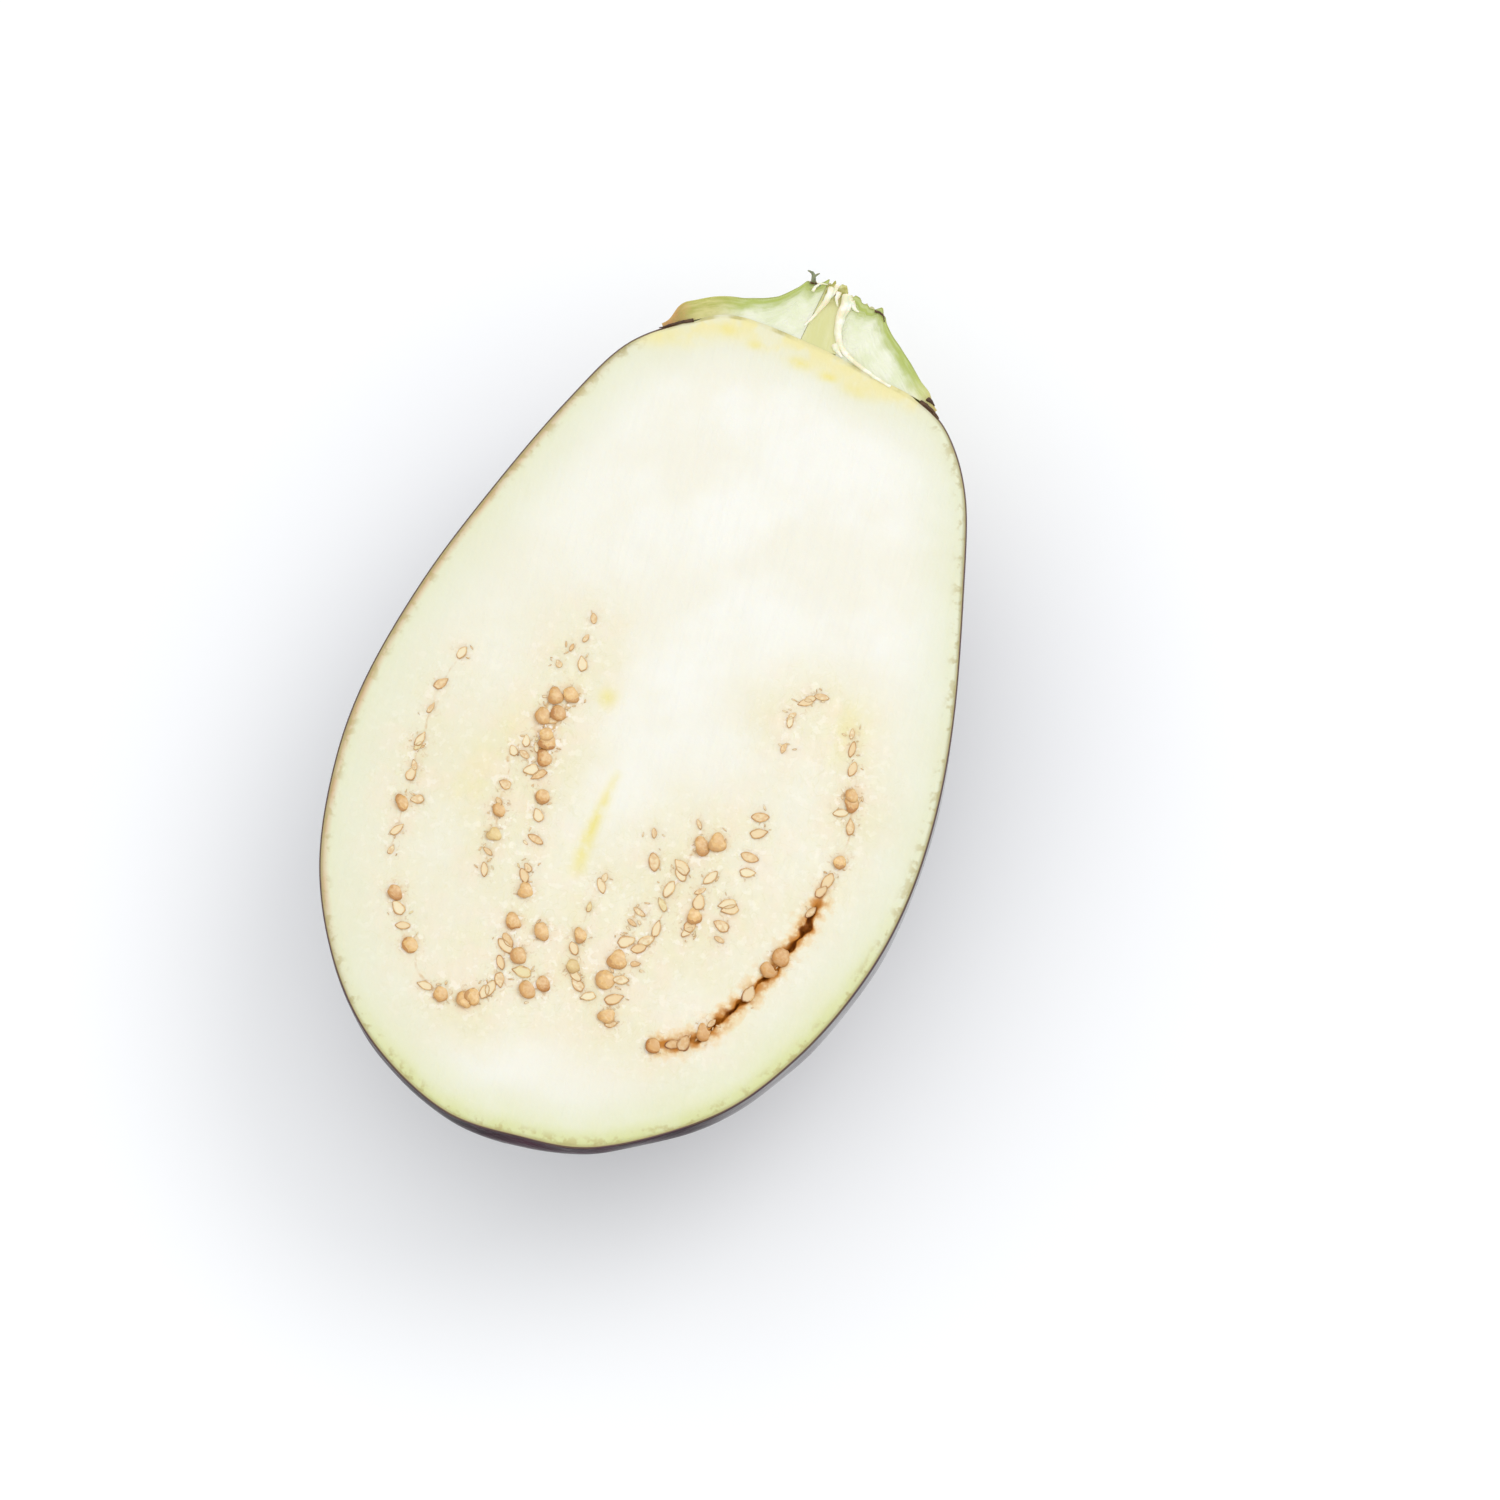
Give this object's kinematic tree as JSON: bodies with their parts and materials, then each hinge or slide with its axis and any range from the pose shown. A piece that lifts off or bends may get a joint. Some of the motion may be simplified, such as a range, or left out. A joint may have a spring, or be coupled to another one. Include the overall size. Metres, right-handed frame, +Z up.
{
  "type": "eggplant half",
  "caption": "Half of a globe eggplant cut lengthwise through its calyx and stalk, seeded cream cut face up, glossy dark purple skin below.",
  "frame": {"origin": "middle of the small flat spot on the skin side that the half rests on", "axes": "+Z up, square to the cut face, which is level; +Y along the fruit from the blossom end to the stalk; +X to the right, seen on the cut face with the stalk away"},
  "size_m": [0.0985, 0.1562, 0.0479],
  "materials": {
    "skin": "glossy waxy dark purple, nearly black",
    "flesh": "moist spongy cream, greener towards the rim, tan seeds",
    "calyx": "dull beige green, brown and dry at the lobe tips",
    "stalk": "matt pale olive, stringy"
  },
  "bodies": {
    "root": {"skin": "skin", "flesh": "flesh", "calyx": "calyx", "stalk": "stalk"}
  },
  "joints": []
}
